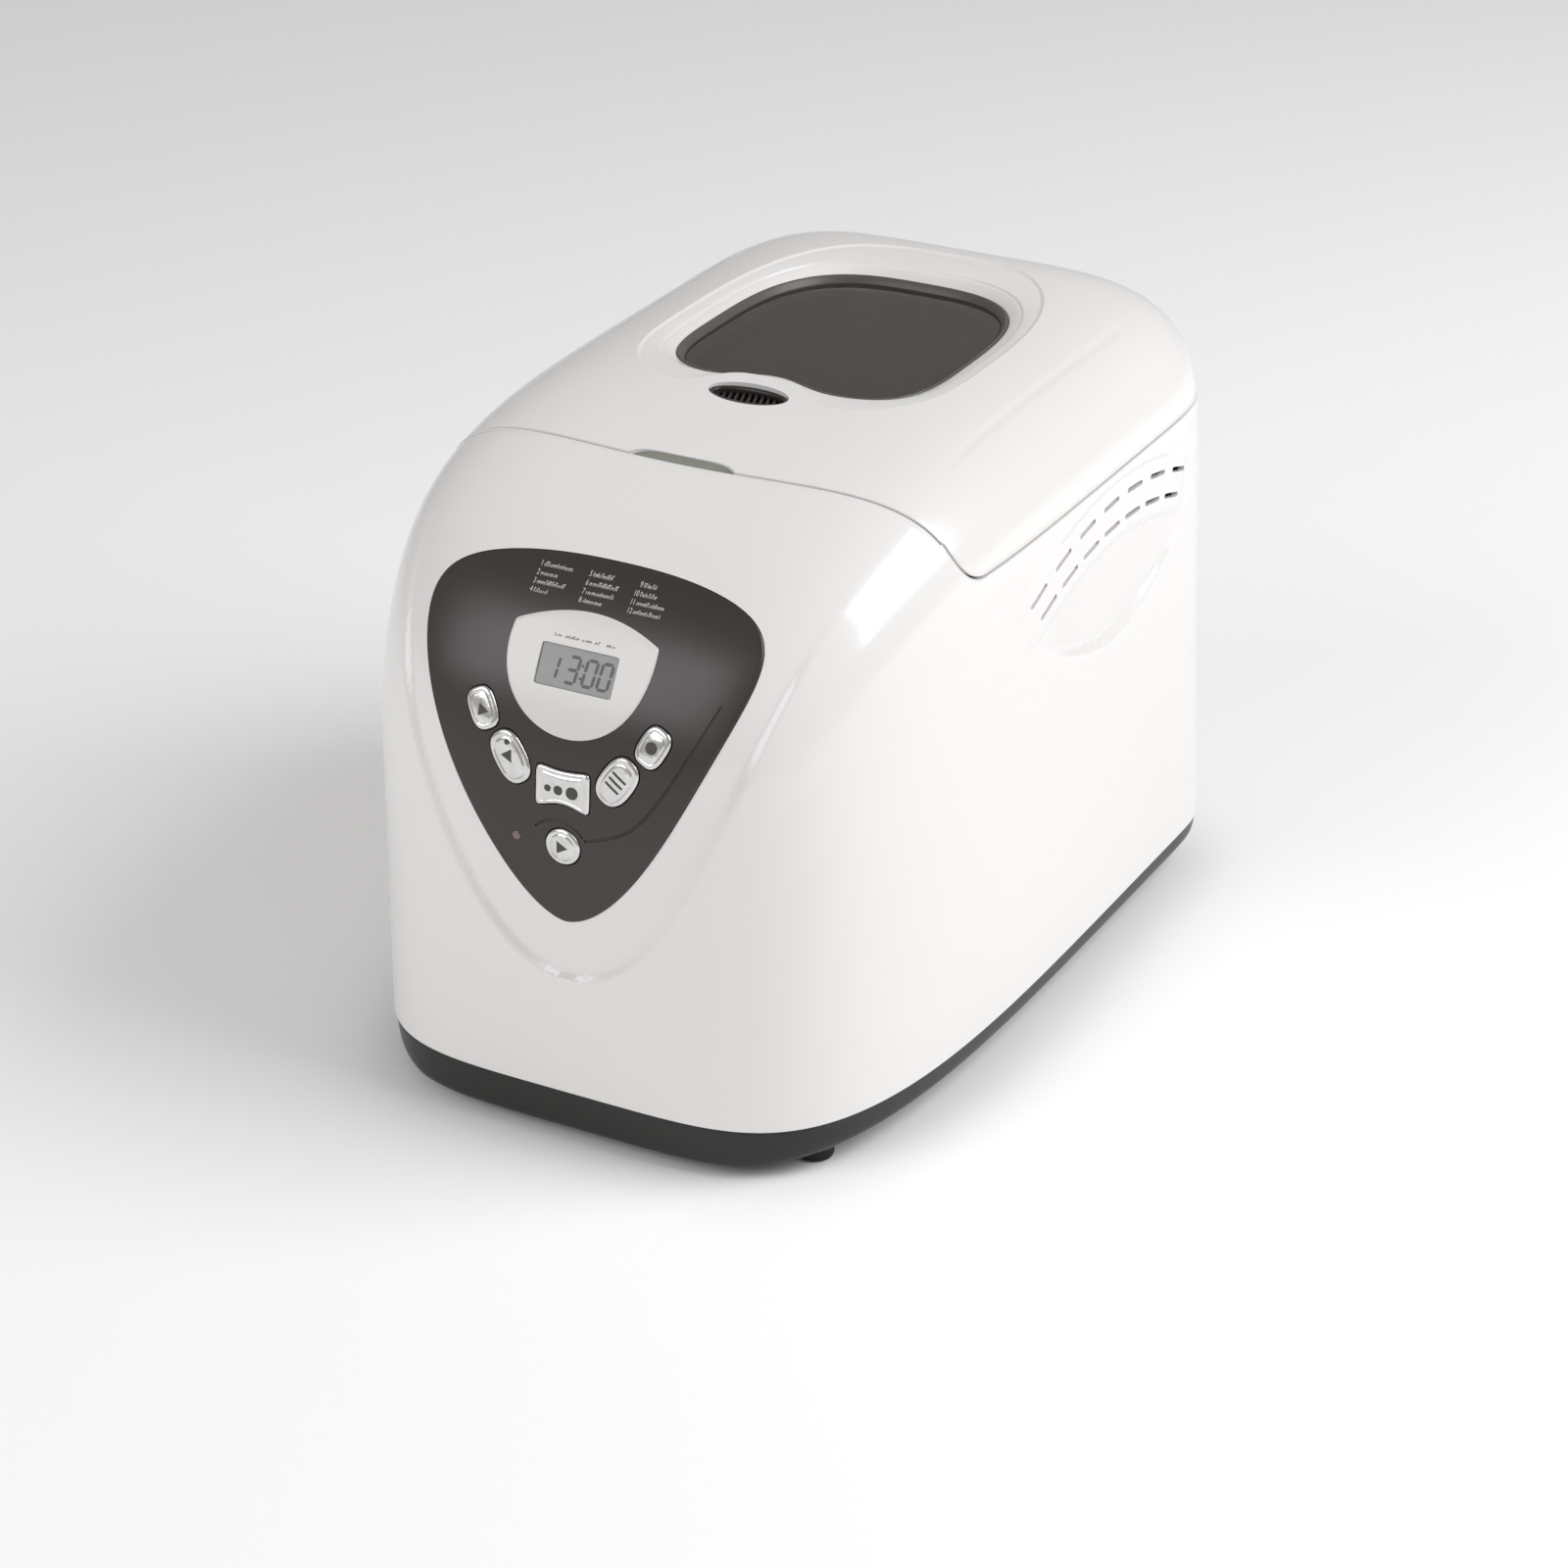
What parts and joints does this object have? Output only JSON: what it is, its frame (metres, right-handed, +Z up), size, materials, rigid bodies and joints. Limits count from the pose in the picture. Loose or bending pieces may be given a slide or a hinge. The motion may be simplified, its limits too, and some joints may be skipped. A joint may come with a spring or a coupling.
{
  "type": "bread machine",
  "caption": "Countertop bread machine with a domed body, hinged windowed lid, shield-shaped control panel, lift-out pan and belt-driven kneading paddle.",
  "frame": {"origin": "middle of the footprint, on the surface under the feet", "axes": "+X to the right of a person who faces the control panel, -Y the front, +Z up"},
  "size_m": [0.278, 0.414, 0.2993],
  "materials": {
    "white_plastic": "pearl white, glossy",
    "base_plastic": "black, satin",
    "foot_rubber": "black rubber",
    "panel_plastic": "dark brown, satin gloss",
    "bezel_plastic": "warm light grey, satin",
    "lcd_glass": "grey display",
    "key_silver": "silver lacquer",
    "indicator": "unlit lamp",
    "circuit_board": "green board",
    "black_parts": "black",
    "chamber_steel": "galvanised sheet",
    "element_steel": "heat-darkened sheath",
    "ceramic": "off-white ceramic",
    "bright_steel": "bright",
    "nonstick": "dark non-stick coating",
    "bare_aluminium": "satin",
    "bronze": "sintered bronze",
    "belt_rubber": "black",
    "fan_plastic": "blue-grey",
    "capacitor_case": "pale grey",
    "gasket_rubber": "grey silicone",
    "window_glass": "dark tinted",
    "clear_glass": "clear",
    "lip_plastic": "grey",
    "hinge_plastic": "off-white"
  },
  "bodies": {
    "housing": {"body_shell": "white_plastic", "base_tray": "base_plastic", "foot_front_left": "foot_rubber", "foot_front_right": "foot_rubber", "foot_rear_left": "foot_rubber", "foot_rear_right": "foot_rubber", "control_panel": "panel_plastic", "display_bezel": "bezel_plastic", "lcd_display": "lcd_glass", "indicator_light": "indicator", "control_board": "circuit_board", "board_switches": "black_parts", "top_deck": "white_plastic", "oven_chamber": "chamber_steel", "chamber_stands": "chamber_steel", "heating_element": "element_steel", "element_bushes": "ceramic", "temperature_sensor": "bright_steel", "pan_socket": "chamber_steel", "pan_clips": "chamber_steel", "drive_bearing": "bronze", "drive_belt": "belt_rubber", "chassis_plate": "chamber_steel", "chassis_screws": "bright_steel", "motor_housing": "bare_aluminium", "motor_mounts": "foot_rubber", "run_capacitor": "capacitor_case", "power_board": "circuit_board", "hinge_brackets": "hinge_plastic", "hinge_pins": "bright_steel", "cord_gland": "base_plastic"},
    "lid": {"lid_shell": "white_plastic", "window_surround": "white_plastic", "window_gasket": "gasket_rubber", "window_glass": "window_glass", "inner_glass": "clear_glass", "lid_liner": "chamber_steel", "liner_screws": "bright_steel", "vent_grille": "panel_plastic", "finger_lip": "lip_plastic", "lid_hinge_arms": "hinge_plastic"},
    "pan": {"bread_pan": "nonstick", "pan_skirt": "bare_aluminium", "handle_ears": "bare_aluminium", "pan_bush": "bronze"},
    "handle": {"pan_handle": "bare_aluminium"},
    "paddle": {"paddle_shaft": "bright_steel", "kneading_paddle": "nonstick"},
    "drive": {"drive_coupling": "bare_aluminium", "drive_shaft": "bright_steel", "drive_pulley": "black_parts"},
    "motor": {"motor_rotor": "bright_steel", "motor_pulley": "black_parts", "motor_fan": "fan_plastic"},
    "time_up_key": {"button_time_up": "key_silver"},
    "time_down_key": {"button_time_down": "key_silver"},
    "loaf_size_key": {"button_loaf_size": "key_silver"},
    "menu_key": {"button_menu": "key_silver"},
    "crust_key": {"button_crust": "key_silver"},
    "start_key": {"button_start": "key_silver"}
  },
  "joints": [
    {"name": "lid_hinge", "type": "hinge", "parent": "housing", "child": "lid", "pos_m": [0, 0.201, 0.2475], "axis": [-1, 0, 0], "range_deg": [0, 95]},
    {"name": "pan_lift", "type": "slide", "parent": "housing", "child": "pan", "axis": [0, 0, 1], "range_m": [0, 0.02]},
    {"name": "handle_swing", "type": "hinge", "parent": "pan", "child": "handle", "pos_m": [0, 0.06, 0.197], "axis": [1, 0, 0], "range_deg": [0, 146]},
    {"name": "motor_spin", "type": "hinge", "parent": "housing", "child": "motor", "pos_m": [0, -0.122, 0.06], "axis": [0, 0, 1], "continuous": true},
    {"name": "drive_spin", "type": "hinge", "parent": "housing", "child": "drive", "pos_m": [0, 0.06, 0.05], "axis": [0, 0, 1], "continuous": true},
    {"name": "paddle_spin", "type": "hinge", "parent": "pan", "child": "paddle", "pos_m": [0, 0.06, 0.09], "axis": [0, 0, 1], "continuous": true},
    {"name": "time_up_press", "type": "slide", "parent": "housing", "child": "time_up_key", "axis": [0, 0.9642, -0.2654], "range_m": [0, 0.001], "stiffness_N_per_m": 400},
    {"name": "time_down_press", "type": "slide", "parent": "housing", "child": "time_down_key", "axis": [0, 0.9906, -0.1371], "range_m": [0, 0.001], "stiffness_N_per_m": 400},
    {"name": "loaf_size_press", "type": "slide", "parent": "housing", "child": "loaf_size_key", "axis": [0, 0.9964, -0.0851], "range_m": [0, 0.001], "stiffness_N_per_m": 400},
    {"name": "menu_press", "type": "slide", "parent": "housing", "child": "menu_key", "axis": [0, 0.9906, -0.1371], "range_m": [0, 0.001], "stiffness_N_per_m": 400},
    {"name": "crust_press", "type": "slide", "parent": "housing", "child": "crust_key", "axis": [0, 0.9642, -0.2654], "range_m": [0, 0.001], "stiffness_N_per_m": 400},
    {"name": "start_press", "type": "slide", "parent": "housing", "child": "start_key", "axis": [0, 1, -0.0038], "range_m": [0, 0.001], "stiffness_N_per_m": 400}
  ],
  "couplings": [
    {"joint": "drive_spin", "follows": "motor_spin", "ratio": 0.22917},
    {"joint": "paddle_spin", "follows": "motor_spin", "ratio": 0.22917}
  ]
}
